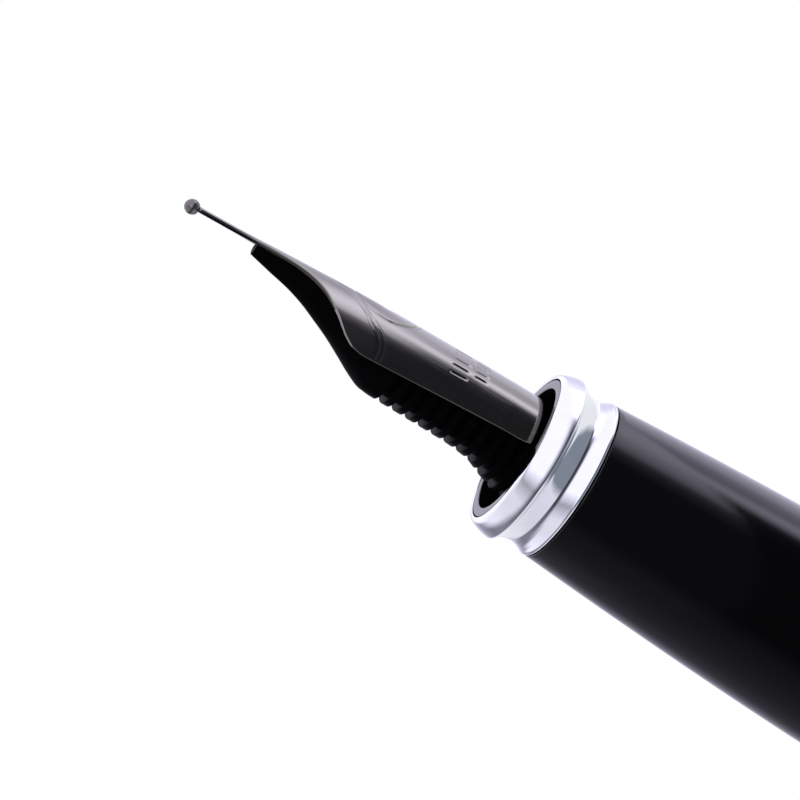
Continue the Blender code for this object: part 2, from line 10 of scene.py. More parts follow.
import bmesh
import bpy
from mathutils import Matrix, Vector
from mathutils.kdtree import KDTree
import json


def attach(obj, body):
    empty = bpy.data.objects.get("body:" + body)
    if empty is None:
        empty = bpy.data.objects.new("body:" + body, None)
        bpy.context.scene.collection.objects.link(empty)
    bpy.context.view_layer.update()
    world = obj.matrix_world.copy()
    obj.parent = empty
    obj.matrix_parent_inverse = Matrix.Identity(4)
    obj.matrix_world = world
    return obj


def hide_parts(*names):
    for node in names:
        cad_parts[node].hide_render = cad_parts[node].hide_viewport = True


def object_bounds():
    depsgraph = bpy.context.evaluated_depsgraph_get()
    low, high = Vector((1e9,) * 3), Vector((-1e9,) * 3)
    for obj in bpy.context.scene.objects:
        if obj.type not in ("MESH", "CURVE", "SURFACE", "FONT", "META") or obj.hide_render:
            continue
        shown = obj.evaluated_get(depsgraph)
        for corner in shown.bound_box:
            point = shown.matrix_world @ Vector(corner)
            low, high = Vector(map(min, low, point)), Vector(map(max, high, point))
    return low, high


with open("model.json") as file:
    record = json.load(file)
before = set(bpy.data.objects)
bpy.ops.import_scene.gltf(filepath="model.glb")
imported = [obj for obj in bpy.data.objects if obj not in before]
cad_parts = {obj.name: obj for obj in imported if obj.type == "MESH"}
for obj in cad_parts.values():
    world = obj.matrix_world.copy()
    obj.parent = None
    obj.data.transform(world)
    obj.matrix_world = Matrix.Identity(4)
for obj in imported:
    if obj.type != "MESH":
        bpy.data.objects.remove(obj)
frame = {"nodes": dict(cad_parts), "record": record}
cad_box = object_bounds()

MM = 0.001
ROUND = 192                     # facets round a visible turned part
CAP_END = 136.6                 # station of the cap's flat end
AXIS_HEIGHT = (cad_box[0].z + cad_box[1].z) / 2

# Stations and radii shared by several pieces, in millimetres.
NIB_REACH = 22.2                # the tines' length in front of the mouth
NIB_RADIUS = 3.16               # of the cylinder that the nib is rolled to
NIB_THICKNESS = 0.30
NIB_BASE = 12.0                 # station of the nib's hidden end
VENT_STATION = -10.4
VENT_RADIUS = 0.62
SLIT = 0.05                     # half the slit's width
SHOULDER_END = -11.9            # station where the shoulders' slanting edge ends
TINES_END = -15.0               # station where the nib begins to widen into its shoulders
PELLET_RADIUS = 0.45
PELLET_CENTRE = (-22.58, 1.99)  # station and height
FEED_TIP = -18.48
FEED_TAIL = 12.6
COMB_START = -9.4               # station where the nose meets the comb of fins
SECTION_FRONT = 3.62
SECTION_END = 27.0
GRIP_FRONT_RADIUS = 4.87
GRIP_REAR_RADIUS = 5.92
BARREL_FRONT = 29.3
BARREL_END = 97.0
CAP_LIP = 74.0
CAP_SHELL_FRONT = 79.1
CAP_BACK = 127.4
KNOB_FRONT = 64.8
KNOB_END = 87.0
RESERVOIR_END = 56.2
CLIP_PIVOT = (130.9, 7.2)       # station and height
CLIP_WIDTH = 2.2
CLIP_TURN = math.radians(135)   # from the nib's top round to the clip

# Outlines as rows of (station, value): the height of the nib's ridge, half its width measured
# round its curve, the height of the feed's underside and half the feed's width.
NIB_RIDGE = [(-NIB_REACH, 2.22), (-19.2, 2.35), (-17.0, 2.50), (-13.6, 2.70), (-10.7, 2.85),
             (-2.0, 3.05)]
NIB_HALF_ARC = [(-NIB_REACH, 0.32), (-19.1, 0.55), (-17.2, 0.93), (-16.1, 1.22), (-15.0, 1.76),
                (-14.1, 2.42), (-13.5, 3.02), (-12.9, 3.62), (-12.5, 4.06), (-12.1, 4.42),
                (-11.5, 4.76), (-10.7, 4.90), (-9.7, 4.87), (-0.9, 4.50), (NIB_BASE, 4.25)]
FEED_BOTTOM = [(-18.7, 1.50), (-17.0, 1.15), (-15.8, 0.92), (-14.7, 0.61), (-13.6, 0.18),
               (-12.4, -0.33), (-11.3, -0.88), (-10.2, -1.44), (-9.4, -1.74), (-8.8, -1.80),
               (-4.0, -1.80), (-2.2, -1.94), (-1.1, -2.34), (0.0, -2.70), (0.8, -2.88),
               (2.0, -3.10)]
FEED_HALF_WIDTH = [(-18.7, 0.45), (-17.0, 0.70), (-15.0, 1.00), (-13.0, 1.45), (-11.0, 2.00),
                   (-9.0, 2.50), (-7.0, 2.70), (0.8, 2.78)]


# ---------------------------------------------------------------- places and curves

def place(station, across=0.0, height=0.0):
    """World point at a station, with Y and Z measured from the pen's axis."""
    return Vector((cad_box[1].x + (station - CAP_END) * MM, across * MM,
                   AXIS_HEIGHT + height * MM))


def stations(start, end, count):
    """Evenly spaced stations, with both ends."""
    return [start + (end - start) * i / count for i in range(count + 1)]


def clamped(value, low=0.0, high=1.0):
    return max(low, min(high, value))


def eased(table, at):
    """Smooth value from a table of (station, value): a cubic through the rows."""
    if at <= table[0][0]:
        return table[0][1]
    if at >= table[-1][0]:
        return table[-1][1]
    slopes = [(b[1] - a[1]) / (b[0] - a[0]) for a, b in zip(table, table[1:])]
    row = next(i for i in range(len(slopes)) if at <= table[i + 1][0])

    def tangent(i):
        if i == 0:
            return slopes[0]
        if i == len(slopes):
            return slopes[-1]
        before, after = slopes[i - 1], slopes[i]
        return 0.0 if before * after <= 0 else 2 * before * after / (before + after)

    (a, low), (b, high) = table[row], table[row + 1]
    span = b - a
    t = (at - a) / span
    return (low * (1 + 2 * t) * (1 - t) ** 2 + span * tangent(row) * t * (1 - t) ** 2
            + high * t * t * (3 - 2 * t) + span * tangent(row + 1) * t * t * (t - 1))


def traced(table, start, end, count):
    """Points of the smooth outline through a table's rows, at even steps."""
    return [(s, eased(table, s)) for s in stations(start, end, count)]


def arc(centre, radius, start, end, count):
    """Points on an arc, angles in degrees from the first axis."""
    turns = [math.radians(start + (end - start) * i / count) for i in range(count + 1)]
    return [(centre[0] + radius * math.cos(t), centre[1] + radius * math.sin(t)) for t in turns]


def filleted(profile, radius, count=4):
    """The profile with its corners rounded to a radius, less where an edge is short.
    Points on the pen's axis stay as they are."""
    points = [Vector(p) for p in profile]
    made = []
    for i, corner in enumerate(points):
        if corner.y < 1e-6:
            made.append(tuple(corner))
            continue
        before = points[i - 1] - corner
        after = points[(i + 1) % len(points)] - corner
        turn = math.pi - before.angle(after)
        if turn < math.radians(14):
            made.append(tuple(corner))
            continue
        reach = min(radius * math.tan(turn / 2), before.length * 0.45, after.length * 0.45)
        start = corner + before.normalized() * reach
        end = corner + after.normalized() * reach
        for k in range(count + 1):
            t = k / count
            made.append(tuple(start * (1 - t) ** 2 + corner * 2 * t * (1 - t) + end * t * t))
    return made


# ---------------------------------------------------------------- pieces

def to_mesh(made, name):
    """The built geometry as a named mesh."""
    mesh = bpy.data.meshes.new(name)
    made.to_mesh(mesh)
    made.free()
    return mesh


def piece(name, data, body, node, finish):
    """A new object that stands for a CAD node and rides on its body."""
    item = bpy.data.objects.new(name, data)
    bpy.context.scene.collection.objects.link(item)
    data.materials.append(finish)
    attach(item, body)
    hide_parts(node)
    return item


def bevelled(item, width, segments, angle):
    """Narrow roundings, in millimetres, on edges sharper than an angle in degrees."""
    edge = item.modifiers.new("Edge", "BEVEL")
    edge.width = width * MM
    edge.segments = segments
    edge.limit_method = "ANGLE"
    edge.angle_limit = math.radians(angle)
    return item


def shaded(item, angle=40.0):
    """Smooth shading with sharp creases, and flats that stay flat."""
    item.data.shade_smooth()
    item.data.set_sharp_from_angle(angle=math.radians(angle))
    weighted = item.modifiers.new("Flats", "WEIGHTED_NORMAL")
    weighted.keep_sharp = True
    return item


def turned_mesh(name, profile, closed=True, steps=ROUND, radius_at=None):
    """Mesh turned about the pen's axis. radius_at(station, radius, angle) may vary it."""
    made = bmesh.new()
    loops = []
    for station, radius in profile:
        if radius < 1e-6:
            loops.append([made.verts.new(place(station))])
            continue
        loop = []
        for k in range(steps):
            turn = math.tau * k / steps
            r = radius_at(station, radius, turn) if radius_at else radius
            loop.append(made.verts.new(place(station, r * math.sin(turn), r * math.cos(turn))))
        loops.append(loop)
    pairs = list(zip(loops, loops[1:])) + ([(loops[-1], loops[0])] if closed else [])
    for near, far in pairs:
        for k in range(steps):
            j = (k + 1) % steps
            corners = dict.fromkeys((near[k % len(near)], far[k % len(far)],
                                     far[j % len(far)], near[j % len(near)]))
            if len(corners) > 2:
                made.faces.new(list(corners))
    bmesh.ops.recalc_face_normals(made, faces=made.faces)
    return to_mesh(made, name)


def turned(name, profile, body, finish, fillet=0.06, closed=True, steps=ROUND,
           radius_at=None):
    """A turned piece with rounded corners that stands for the CAD node of its name."""
    outline = filleted(profile, fillet) if fillet else profile
    mesh = turned_mesh(name + "_fine", outline, closed, steps, radius_at)
    return shaded(piece(name + "_fine", mesh, body, name, finish))


# ---------------------------------------------------------------- materials

class Finish:
    """A node material under construction, with short calls for the nodes it needs."""

    def __init__(self, name, colour, metallic, roughness):
        self.material = bpy.data.materials.new(name)
        self.material.use_nodes = True
        self.tree = self.material.node_tree
        self.shader = self.tree.nodes["Principled BSDF"]
        self.set("Base Color", (*colour, 1.0))
        self.set("Metallic", metallic)
        self.set("Roughness", roughness)
        self.place = self.tree.nodes.new("ShaderNodeTexCoord").outputs["Object"]

    def set(self, socket, value):
        self.shader.inputs[socket].default_value = value

    def link(self, source, target):
        self.tree.links.new(source, target)

    def stretched(self, scale):
        """Place on the piece, stretched by a scale for each axis."""
        node = self.tree.nodes.new("ShaderNodeMapping")
        node.inputs["Scale"].default_value = scale
        self.link(self.place, node.inputs["Vector"])
        return node.outputs["Vector"]

    def noise(self, scale, detail=3.0, stretch=(1, 1, 1)):
        """Noise with so many features a metre."""
        node = self.tree.nodes.new("ShaderNodeTexNoise")
        node.inputs["Scale"].default_value = scale
        node.inputs["Detail"].default_value = detail
        self.link(self.stretched(stretch), node.inputs["Vector"])
        return node.outputs["Fac"]

    def ranged(self, source, low, high, start=0.3, end=0.7):
        node = self.tree.nodes.new("ShaderNodeMapRange")
        node.inputs["From Min"].default_value = start
        node.inputs["From Max"].default_value = end
        node.inputs["To Min"].default_value = low
        node.inputs["To Max"].default_value = high
        self.link(source, node.inputs["Value"])
        return node.outputs["Result"]

    def vary_colour(self, source, dark, light):
        ramp = self.tree.nodes.new("ShaderNodeValToRGB")
        ramp.color_ramp.elements[0].position = 0.3
        ramp.color_ramp.elements[1].position = 0.7
        ramp.color_ramp.elements[0].color = (*dark, 1.0)
        ramp.color_ramp.elements[1].color = (*light, 1.0)
        self.link(source, ramp.inputs["Fac"])
        self.link(ramp.outputs["Color"], self.shader.inputs["Base Color"])

    def vary_roughness(self, source, low, high):
        self.link(self.ranged(source, low, high), self.shader.inputs["Roughness"])

    def bump(self, source, depth, strength=1.0):
        """Relief of a depth in millimetres."""
        node = self.tree.nodes.new("ShaderNodeBump")
        node.inputs["Distance"].default_value = depth * MM
        node.inputs["Strength"].default_value = strength
        self.link(source, node.inputs["Height"])
        self.link(node.outputs["Normal"], self.shader.inputs["Normal"])


def make_finishes():
    """One finish for each material slot of the record, and two more blacks: the feed's, darker
    and almost without gloss as painted shade under the nib, and the polished collar's."""
    made = {}

    steel = Finish("gunmetal_nib", (0.26, 0.25, 0.225), 1.0, 0.09)
    lines = steel.noise(9000, 3, (0.06, 1, 1))
    patches = steel.noise(700, 3, (0.3, 1, 1))
    steel.vary_colour(patches, (0.245, 0.237, 0.212), (0.275, 0.265, 0.238))
    steel.vary_roughness(lines, 0.06, 0.12)
    steel.bump(lines, 0.0006)
    made["nib_steel"] = steel

    tip = Finish("ground_tip_alloy", (0.17, 0.155, 0.155), 1.0, 0.2)
    grain = tip.noise(16000, 3)
    tip.vary_colour(grain, (0.13, 0.12, 0.12), (0.21, 0.19, 0.19))
    tip.vary_roughness(grain, 0.14, 0.26)
    tip.bump(grain, 0.001)
    made["tip_alloy"] = tip

    plastic = Finish("moulded_black_plastic", (0.004, 0.004, 0.0044), 0.0, 0.35)
    plastic.set("Specular IOR Level", 0.3)
    grain = plastic.noise(11000, 4)
    plastic.vary_colour(plastic.noise(1500, 3), (0.003, 0.003, 0.0034), (0.006, 0.006, 0.0064))
    plastic.vary_roughness(grain, 0.28, 0.42)
    plastic.bump(grain, 0.002)
    made["black_plastic"] = plastic

    # Painted shade: a darker copy of the moulded black plastic with almost no gloss, for the
    # shade on the feed under the nib.
    feed = Finish("feed_plastic_painted_shade", (0.002, 0.002, 0.0022), 0.0, 0.3)
    feed.set("Specular IOR Level", 0.004)
    grain = feed.noise(11000, 4)
    feed.vary_colour(feed.noise(1500, 3), (0.0016, 0.0016, 0.0018), (0.0026, 0.0026, 0.0028))
    feed.vary_roughness(grain, 0.22, 0.32)
    feed.bump(grain, 0.002)
    made["feed"] = feed

    collar = Finish("polished_black_collar", (0.004, 0.004, 0.0045), 0.0, 0.14)
    collar.set("Specular IOR Level", 0.5)
    grain = collar.noise(2600, 4)
    collar.vary_colour(collar.noise(1500, 3), (0.003, 0.003, 0.0034), (0.006, 0.006, 0.0066))
    collar.vary_roughness(grain, 0.10, 0.18)
    collar.bump(grain, 0.001)
    made["collar"] = collar

    chrome = Finish("polished_chrome", (0.80, 0.81, 0.84), 1.0, 0.04)
    lines = chrome.noise(14000, 2, (1, 0.05, 0.05))
    chrome.vary_colour(chrome.noise(900, 2), (0.78, 0.79, 0.83), (0.82, 0.83, 0.85))
    chrome.vary_roughness(chrome.noise(2200, 4), 0.03, 0.07)
    chrome.bump(lines, 0.00015)
    made["chrome"] = chrome

    lacquer = Finish("gloss_black_lacquer", (0.001, 0.0009, 0.001), 0.0, 0.03)
    lacquer.set("IOR", 1.5)
    peel = lacquer.noise(650, 2)
    lacquer.vary_colour(lacquer.noise(240, 3), (0.0007, 0.0006, 0.0007), (0.0012, 0.0011, 0.0012))
    lacquer.vary_roughness(lacquer.noise(1800, 4), 0.02, 0.05)
    lacquer.bump(peel, 0.0006)
    made["black_lacquer"] = lacquer

    brass = Finish("turned_brass", (0.72, 0.53, 0.24), 1.0, 0.3)
    lines = brass.noise(9000, 3, (1, 0.04, 0.04))
    brass.vary_colour(brass.noise(600, 4), (0.60, 0.42, 0.17), (0.76, 0.57, 0.27))
    brass.vary_roughness(lines, 0.20, 0.38)
    brass.bump(lines, 0.0015)
    made["brass"] = brass

    metal = Finish("turned_steel", (0.55, 0.56, 0.58), 1.0, 0.28)
    lines = metal.noise(9000, 3, (1, 0.04, 0.04))
    metal.vary_colour(metal.noise(800, 3), (0.50, 0.51, 0.53), (0.60, 0.61, 0.63))
    metal.vary_roughness(lines, 0.18, 0.34)
    metal.bump(lines, 0.001)
    made["steel"] = metal

    clear = Finish("clear_plastic_tube", (0.93, 0.95, 0.96), 0.0, 0.04)
    clear.set("IOR", 1.49)
    clear.set("Transmission Weight", 1.0)
    clear.vary_roughness(clear.noise(1200, 3), 0.02, 0.07)
    clear.bump(clear.noise(500, 2), 0.002)
    made["clear_plastic"] = clear

    rubber = Finish("matt_seal_rubber", (0.03, 0.03, 0.03), 0.0, 0.7)
    grain = rubber.noise(8000, 4)
    rubber.vary_colour(grain, (0.022, 0.022, 0.022), (0.04, 0.04, 0.04))
    rubber.vary_roughness(grain, 0.6, 0.85)
    rubber.bump(grain, 0.006)
    made["rubber"] = rubber

    return {name: finish.material for name, finish in made.items()}


# ---------------------------------------------------------------- nib unit

def nib_point(station, along_arc, depth=0.0):
    """A point on the nib's outer face, by its distance round the curve from the top."""
    radius = NIB_RADIUS - depth
    turn = along_arc / NIB_RADIUS
    drop = eased(NIB_RIDGE, station) - NIB_RADIUS
    return place(station, radius * math.sin(turn), drop + radius * math.cos(turn))


def shoulder_distance():
    """A function that gives how far a point of the flat blank lies from its shoulder."""
    edge = traced(NIB_HALF_ARC, -NIB_REACH, SHOULDER_END, 599)
    tree = KDTree(len(edge))
    for i, point in enumerate(edge):
        tree.insert((*point, 0), i)
    tree.balance()
    return lambda station, along_arc: tree.find((station, along_arc, 0))[2]


def groove(distance, width=0.06):
    """Share of the full depth at a distance from the middle of a cut line."""
    return math.exp(-(distance / width) ** 2)


def bar_rows(station, along_arc):
    """Two plain rows of short bars across the nib."""
    deepest = 0.0
    long_bars = (-5.5, 0.45, 0.56, 3.1)     # station, half length, spacing, reach to each side
    short_bars = (-4.2, 0.32, 0.46, 2.7)
    for middle, half, spacing, reach in (long_bars, short_bars):
        past = max(abs(station - middle) - half, 0.0)
        aside = abs(abs(along_arc) % spacing - spacing / 2)
        if abs(along_arc) < reach:
            deepest = max(deepest, groove(math.hypot(past, aside)))
    return deepest


def engraving(edge_distance, station, along_arc):
    """Depth of the cut lines: a double border, a ring round the vent, rows of bars."""
    full_depth, ring_radius, border_start = 0.055, 2.1, -17.0
    side = abs(along_arc)
    inside = edge_distance(station, side)
    border = 0.0
    if station > border_start:
        fade = clamped((station - border_start) / 1.5) * clamped((4.1 - side) / 1.6, 0.15)
        border = fade * max(0.7 * groove(inside - 1.75), 0.4 * groove(inside - 2.05))
    ring = groove(math.hypot(station - VENT_STATION, side) - ring_radius)
    return full_depth * max(border, ring, bar_rows(station, side))


def edge_rounding(station, gap):
    """How far the nib's face falls away at a distance from its side edge. The rounding
    grows towards the tip of the tines."""
    radius = 0.07 + 0.11 * clamped((-18.0 - station) / 2.0)
    inward = clamped(radius - gap, 0.0, radius)
    return radius - math.sqrt(radius ** 2 - inward ** 2)


def nib_stations():
    """Rows of the nib's mesh, closer together where it is engraved and round the vent."""
    front, back = VENT_STATION - VENT_RADIUS, VENT_STATION + VENT_RADIUS
    engraving_end = 0.4
    rows = stations(-NIB_REACH, TINES_END, 44)[:-1] + stations(TINES_END, front, 56)[:-1]
    rows += [VENT_STATION - VENT_RADIUS * math.cos(math.pi * i / 22) for i in range(23)]
    rows += stations(back, engraving_end, 144)[1:] + stations(engraving_end, NIB_BASE, 8)[1:]
    return rows


def make_nib():
    """Rolled sheet with shoulders, a slit that ends in a round vent, and cut lines."""
    edge_distance = shoulder_distance()
    columns = 78
    made = bmesh.new()
    merge_from = VENT_STATION + VENT_RADIUS - 1e-6
    grids = {1: [], -1: []}
    for station in nib_stations():
        half = eased(NIB_HALF_ARC, station)
        within = VENT_RADIUS ** 2 - (station - VENT_STATION) ** 2
        inner = math.sqrt(within) if within > 1e-9 else 0.0
        if station < VENT_STATION:
            inner = max(inner, SLIT)
        for side in (1, -1):
            row = []
            for j in range(columns + 1):
                along_arc = side * (inner + (half - inner) * j / columns)
                if j == 0 and side == -1 and station >= merge_from:
                    row.append(grids[1][-1][0])
                    continue
                depth = max(engraving(edge_distance, station, along_arc),
                            edge_rounding(station, half - abs(along_arc)))
                row.append(made.verts.new(nib_point(station, along_arc, depth)))
            grids[side].append(row)
    for side, grid in grids.items():
        for near, far in zip(grid, grid[1:]):
            for j in range(columns):
                corners = (near[j], far[j], far[j + 1], near[j + 1])
                made.faces.new(corners if side == 1 else corners[::-1])
    bmesh.ops.recalc_face_normals(made, faces=made.faces)
    if next(iter(made.faces)).normal.z < 0:
        bmesh.ops.reverse_faces(made, faces=made.faces)
    mesh = to_mesh(made, "nib_fine")
    mesh.shade_smooth()
    item = piece("nib_fine", mesh, "section", "nib", finishes["nib_steel"])
    sheet = item.modifiers.new("Thickness", "SOLIDIFY")
    sheet.thickness = NIB_THICKNESS * MM
    sheet.offset = -1.0
    bevelled(item, 0.035, 2, 60)


def make_tip():
    """Ground writing tip: a ball split by the slit, flattened a little where it writes."""
    station, height = PELLET_CENTRE
    belly, half_split, seat = 0.94, 0.06, -NIB_REACH - 0.005
    for name, side in (("tip_pellet_left", -1), ("tip_pellet_right", 1)):
        made = bmesh.new()
        bmesh.ops.create_uvsphere(made, u_segments=48, v_segments=32, radius=PELLET_RADIUS * MM)
        for vert in made.verts:
            if vert.co.z < 0:
                vert.co.z *= belly
            vert.co += place(station, 0, height)
        for plane, clear in ((place(0, half_split * side), (0, -side, 0)),
                             (place(seat), (1, 0, 0))):
            parts = made.verts[:] + made.edges[:] + made.faces[:]
            found = bmesh.ops.bisect_plane(made, geom=parts, plane_co=plane, plane_no=clear,
                                           clear_outer=True, dist=1e-8)
            rim = [e for e in found["geom_cut"] if isinstance(e, bmesh.types.BMEdge)]
            bmesh.ops.edgeloop_fill(made, edges=rim)
        bmesh.ops.recalc_face_normals(made, faces=made.faces)
        mesh = to_mesh(made, name + "_fine")
        item = piece(name + "_fine", mesh, "section", name, finishes["tip_alloy"])
        shaded(bevelled(item, 0.03, 3, 50), 60)


def feed_ring(station, inset=0.0):
    """Cross-section of the feed: top under the nib with an ink channel, flattened belly."""
    half = eased(FEED_HALF_WIDTH, station) - inset
    bottom = eased(FEED_BOTTOM, station) + inset
    drop = eased(NIB_RIDGE, station) - NIB_RADIUS
    gap = 0.02 + 0.04 * clamped(station + 18.0)
    roof = NIB_RADIUS - NIB_THICKNESS - gap - inset * 0.35
    channel_half, channel_depth = 0.12, 0.25
    chords, belly_steps = 26, 40
    across = [half * math.sin(math.pi * (i / chords - 0.5)) for i in range(chords + 1)]
    edge = drop + math.sqrt(roof * roof - half * half)
    points = []
    for y in across:
        top = drop + math.sqrt(roof * roof - y * y)
        points.append((y, top - channel_depth if abs(y) < channel_half else top))
    for i in range(1, belly_steps):
        turn = math.pi * i / belly_steps
        points.append((half * math.cos(turn), edge - (edge - bottom) * math.sin(turn) ** 0.8))
    return [place(station, y, z) for y, z in points]


def make_feed():
    """Ink feed: a long nose under the tines, a comb of thin fins and a round tail."""
    soft = 0.05
    nose = [FEED_TIP + soft, *stations(FEED_TIP, COMB_START, 40)[1:]]
    rings = [feed_ring(FEED_TIP, soft)] + [feed_ring(s) for s in nose]
    fins, first, pitch, thick, deep, lip = 12, -8.8, 0.86, 0.44, 0.42, 0.035
    for i in range(fins):
        front = first + i * pitch
        back = front + thick
        if i > 0:
            rings += [feed_ring(front, deep), feed_ring(front, lip)]
        rings += [feed_ring(front + lip), feed_ring(back - lip)]
        if i < fins - 1:
            rings += [feed_ring(back, lip), feed_ring(back, deep)]
    rings.append(feed_ring(FEED_TAIL))
    made = bmesh.new()
    loops = [[made.verts.new(point) for point in ring] for ring in rings]
    for near, far in zip(loops, loops[1:]):
        for i in range(len(near)):
            j = (i + 1) % len(near)
            made.faces.new((near[i], near[j], far[j], far[i]))
    made.faces.new(loops[0])
    made.faces.new(loops[-1])
    bmesh.ops.recalc_face_normals(made, faces=made.faces)
    mesh = to_mesh(made, "feed_fine")
    shaded(piece("feed_fine", mesh, "section", "feed", finishes["feed"]), 32)


def make_nib_housing():
    """Collar round the nib and feed, with a deep dark recess in front."""
    thread_start, pitch, root, crest = 4.4, 0.84, 3.52, 3.70
    thread = [(thread_start, root)]
    for i in range(10):
        start = thread_start + i * pitch
        thread += [(start + 0.12, crest), (start + 0.42, crest), (start + 0.60, root),
                   (start + 0.80, root)]
    bore = NIB_RADIUS + 0.08
    profile = [(0.00, 3.86), (0.00, 4.40), (0.92, 4.40), (0.92, 4.02), (3.56, 4.02),
               (3.56, root), *thread, (13.6, root), (13.6, 1.15), (18.4, 1.15), (18.4, 0.60),
               (12.9, 0.60), (12.9, bore), (2.6, bore), (2.6, 3.86)]
    turned("nib_housing", profile, "section", finishes["collar"], 0.05)


# ---------------------------------------------------------------- grip section

def threaded(start, end, root, crest, pitch):
    """Radius of a helical thread at a station and an angle, blended away at both ends."""
    def radius_at(station, radius, turn):
        if not start < station < end:
            return radius
        phase = ((station - start) / pitch - turn / math.tau) % 1.0
        tooth = clamped(2.2 - 4.4 * abs(phase - 0.5))
        fade = min(1.0, (station - start) / pitch, (end - station) / pitch)
        return root + (crest - root) * tooth * fade
    return radius_at


def make_front_ring():
    """Polished ring with a bead, a waist and a flared rear rim. The outline goes on round
    its rims, so its points are eased by the distance along it."""
    ring = [(0.20, 4.45), (0.00, 4.47), (-0.05, 4.51), (-0.02, 4.62), (0.06, 4.75), (0.35, 4.89),
            (0.75, 5.02), (1.10, 5.09), (1.20, 5.10), (1.28, 5.06), (1.42, 4.91), (1.65, 4.76),
            (2.05, 4.61), (2.45, 4.55), (2.80, 4.61), (3.15, 4.75), (3.42, 4.87), (3.52, 4.86)]
    heights = [0.0]
    for a, b in zip(ring, ring[1:]):
        heights.append(heights[-1] + math.dist(a, b))
    along = list(zip(heights, [s for s, _ in ring]))
    outward = list(zip(heights, [r for _, r in ring]))
    outer = [(eased(along, s), eased(outward, s)) for s in stations(0.0, heights[-1], 110)]
    profile = [*outer, (3.52, 4.07), (0.97, 4.07), (0.97, 4.46)]
    turned("front_ring", profile, "section", finishes["chrome"], 0.0)


def grip_radius(station):
    """The grip swells from its front to its back, steeply at first."""
    t = (station - SECTION_FRONT) / (SECTION_END - SECTION_FRONT)
    swell = GRIP_REAR_RADIUS - GRIP_FRONT_RADIUS
    return GRIP_FRONT_RADIUS + swell * (1 - (1 - t) ** 1.55)


def make_section():
    """Lacquered shell of the grip on its brass core, which has the barrel's thread."""
    outer = [(s, grip_radius(s)) for s in stations(SECTION_FRONT, SECTION_END, 60)]
    shell = outer + [(SECTION_END, 4.35), (SECTION_FRONT, 4.35)]
    turned("section_shell", shell, "section", finishes["black_lacquer"], 0.05)

    front, back, bore, root, crest = 3.60, 34.0, 3.76, 4.72, 4.90
    rows = [(28.1 + i / 16, root) for i in range(95)]
    core = [(front, bore), (front, 4.30), (27.05, 4.30), (27.05, root), *rows, (back, root),
            (back, bore)]
    turned("section_core", core, "section", finishes["brass"], 0.04,
           radius_at=threaded(28.2, 33.9, root, crest, 0.7))


# ---------------------------------------------------------------- converter

def make_converter():
    """Mouth, clear reservoir, metal sleeve and fluted knob of the piston converter."""
    mouth = [(14.3, 1.25), (14.3, 3.45), (14.6, 3.65), (24.0, 3.65), (24.0, 3.25), (19.0, 3.25),
             (19.0, 1.25)]
    turned("converter_mouth", mouth, "section", finishes["black_plastic"], 0.1)
    tube = [(19.1, 2.6), (19.1, 3.2), (RESERVOIR_END, 3.2), (RESERVOIR_END, 2.6)]
    turned("reservoir", tube, "section", finishes["clear_plastic"], 0.08)
    sleeve = [(49.5, 3.25), (49.5, 3.70), (50.3, 3.70), (50.4, 3.62), (50.8, 3.62), (50.9, 3.70),
              (64.5, 3.70), (64.5, 2.60), (63.1, 2.60), (63.1, 3.25)]
    turned("converter_sleeve", sleeve, "section", finishes["chrome"], 0.08)

    flutes, flute_depth, front, back = 30, 0.14, KNOB_FRONT + 0.9, KNOB_END - 1.6

    def knob_radius(station, radius, turn):
        if radius < 3.2:
            return radius
        fade = clamped(min(station - front, back - station) / 0.6)
        return radius - flute_depth * fade * (0.5 - 0.5 * math.cos(flutes * turn)) ** 0.6

    side = [(KNOB_FRONT + 0.4 + 20.6 * i / 60, 3.60 - 0.05 * i / 60) for i in range(61)]
    knob = [(62.9, 1.5), (62.9, 2.45), (KNOB_FRONT, 2.45), (KNOB_FRONT, 3.35), *side,
            (KNOB_END, 3.0), (KNOB_END, 0.0), (KNOB_END - 1.4, 0.0), (KNOB_END - 1.4, 1.5)]
    turned("converter_knob", knob, "knob", finishes["black_plastic"], 0.1,
           steps=360, radius_at=knob_radius)


# ---------------------------------------------------------------- barrel

def make_barrel():
    """Front ring, lacquered shell and domed end of the barrel."""
    ring = [(27.2, 5.05), (27.2, 6.10), (27.5, 6.36), (28.0, 6.42), (28.7, 6.42), (29.1, 6.34),
            (29.1, 5.34), (28.1, 5.34), (28.1, 5.05)]
    turned("barrel_front_ring", ring, "barrel", finishes["chrome"], 0.1)
    outline = [(BARREL_FRONT, 6.28), (45.0, 6.32), (60.0, 6.22), (74.0, 6.00), (86.0, 5.62),
               (BARREL_END, 5.15)]
    shell = traced(outline, BARREL_FRONT, BARREL_END, 90)
    shell += [(BARREL_END, 3.9), (90.0, 4.35), (60.0, 5.32), (45.0, 5.34), (BARREL_FRONT, 5.34)]
    turned("barrel_shell", shell, "barrel", finishes["black_lacquer"], 0.06)
    crown = [(97.6, 5.16), (98.4, 5.00), (99.4, 4.55), (100.1, 3.80), (100.5, 2.60)]
    dome = traced(crown, 97.7, 100.5, 24)
    end = [(93.0, 0.0), (93.0, 3.55), (93.3, 3.82), (97.15, 3.82), (97.15, 5.12), *dome,
           (100.5, 0.0)]
    turned("barrel_end_cap", end, "barrel", finishes["chrome"], 0.05, closed=False)


# ---------------------------------------------------------------- cap

def from_lip(points):
    """Points with their stations measured from the cap's lip."""
    return [(CAP_LIP + s, r) for s, r in points]


def from_back(points):
    """Points with their stations measured from the back of the cap's shell."""
    return [(CAP_BACK + s, r) for s, r in points]


